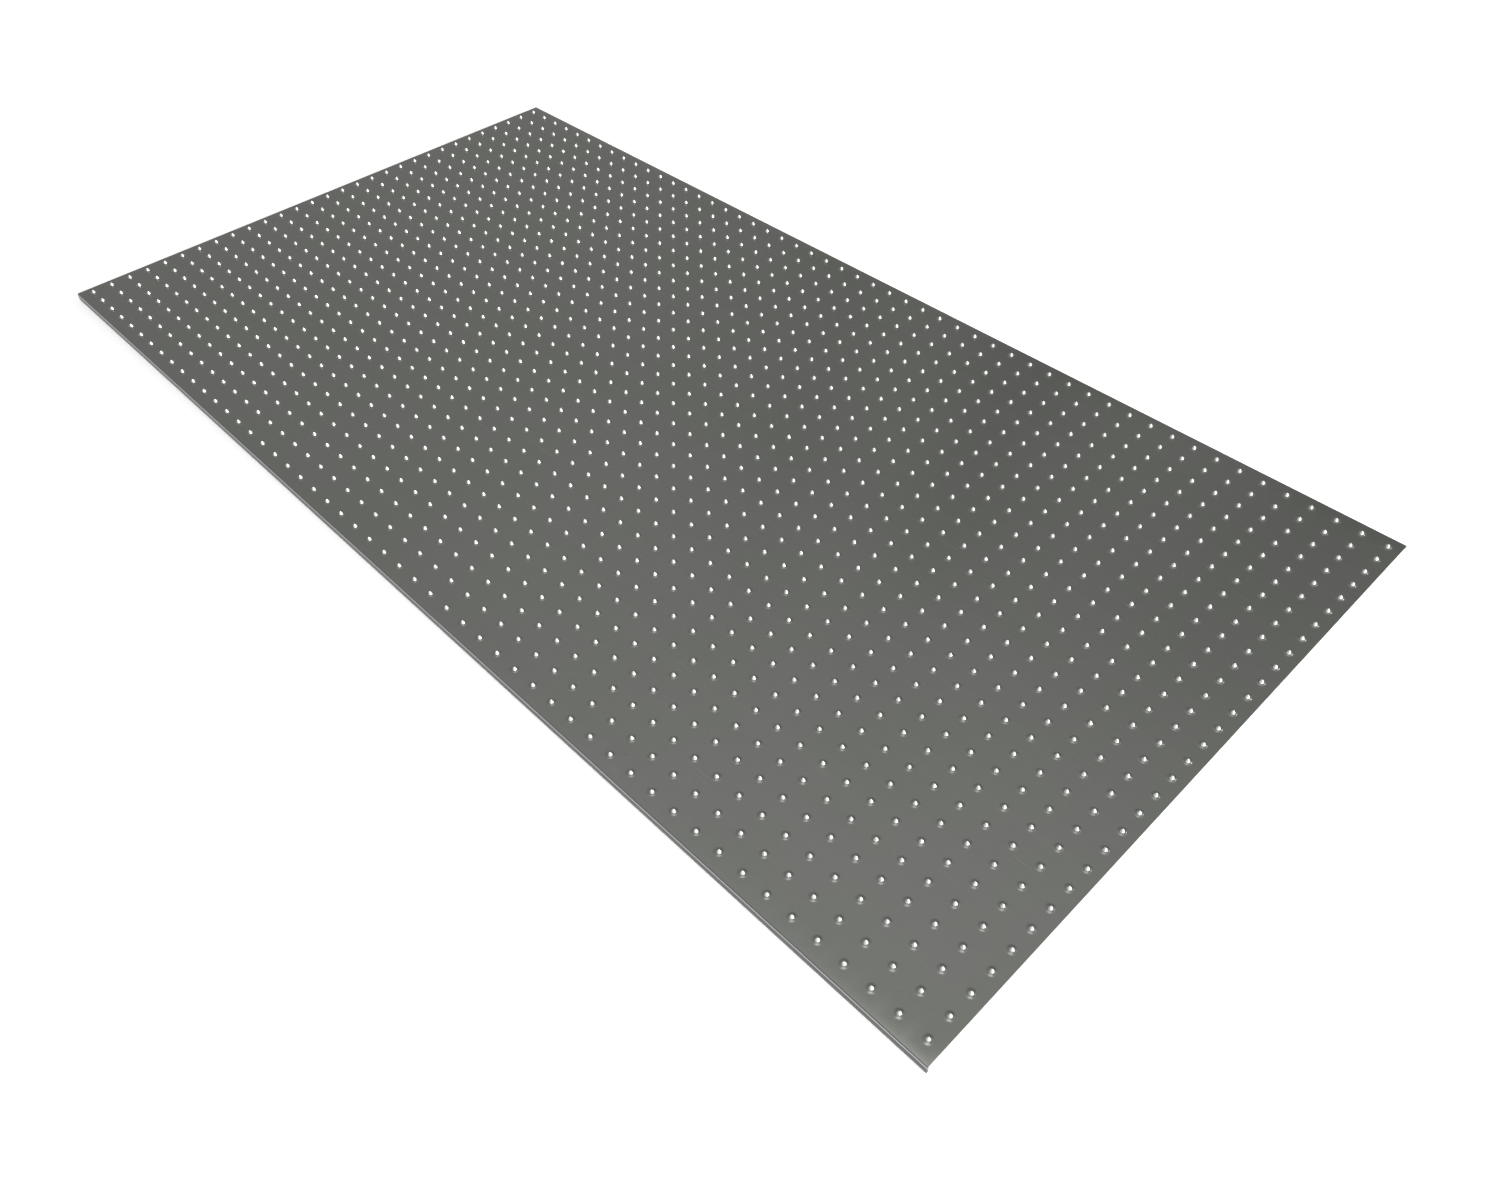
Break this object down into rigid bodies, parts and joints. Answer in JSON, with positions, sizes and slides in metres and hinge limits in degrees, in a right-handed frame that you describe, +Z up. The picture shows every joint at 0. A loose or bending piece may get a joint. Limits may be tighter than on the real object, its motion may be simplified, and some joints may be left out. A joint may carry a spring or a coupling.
{
  "type": "scaffold deck panel",
  "caption": "Flat sheet-metal work platform panel with folded rims, a grid of small raised anti-slip pips on top, and cross ribs beneath.",
  "frame": {"origin": "on the floor under the middle of the panel", "axes": "+X along the panel's length, +Y across it, +Z up out of the walking surface"},
  "size_m": [2, 1.05, 0.02],
  "materials": {
    "deck_steel": "semi-gloss dark grey rolled steel sheet, with bright worn pip crowns",
    "end_steel": "bright zinc-coated steel",
    "rib_steel": "dull zinc-coated steel"
  },
  "bodies": {
    "root": {"deck_sheet": "deck_steel", "end_channel_front": "end_steel", "end_channel_back": "end_steel", "cross_rib_1": "rib_steel", "cross_rib_2": "rib_steel", "cross_rib_3": "rib_steel", "cross_rib_4": "rib_steel", "cross_rib_5": "rib_steel", "cross_rib_6": "rib_steel"}
  },
  "joints": []
}
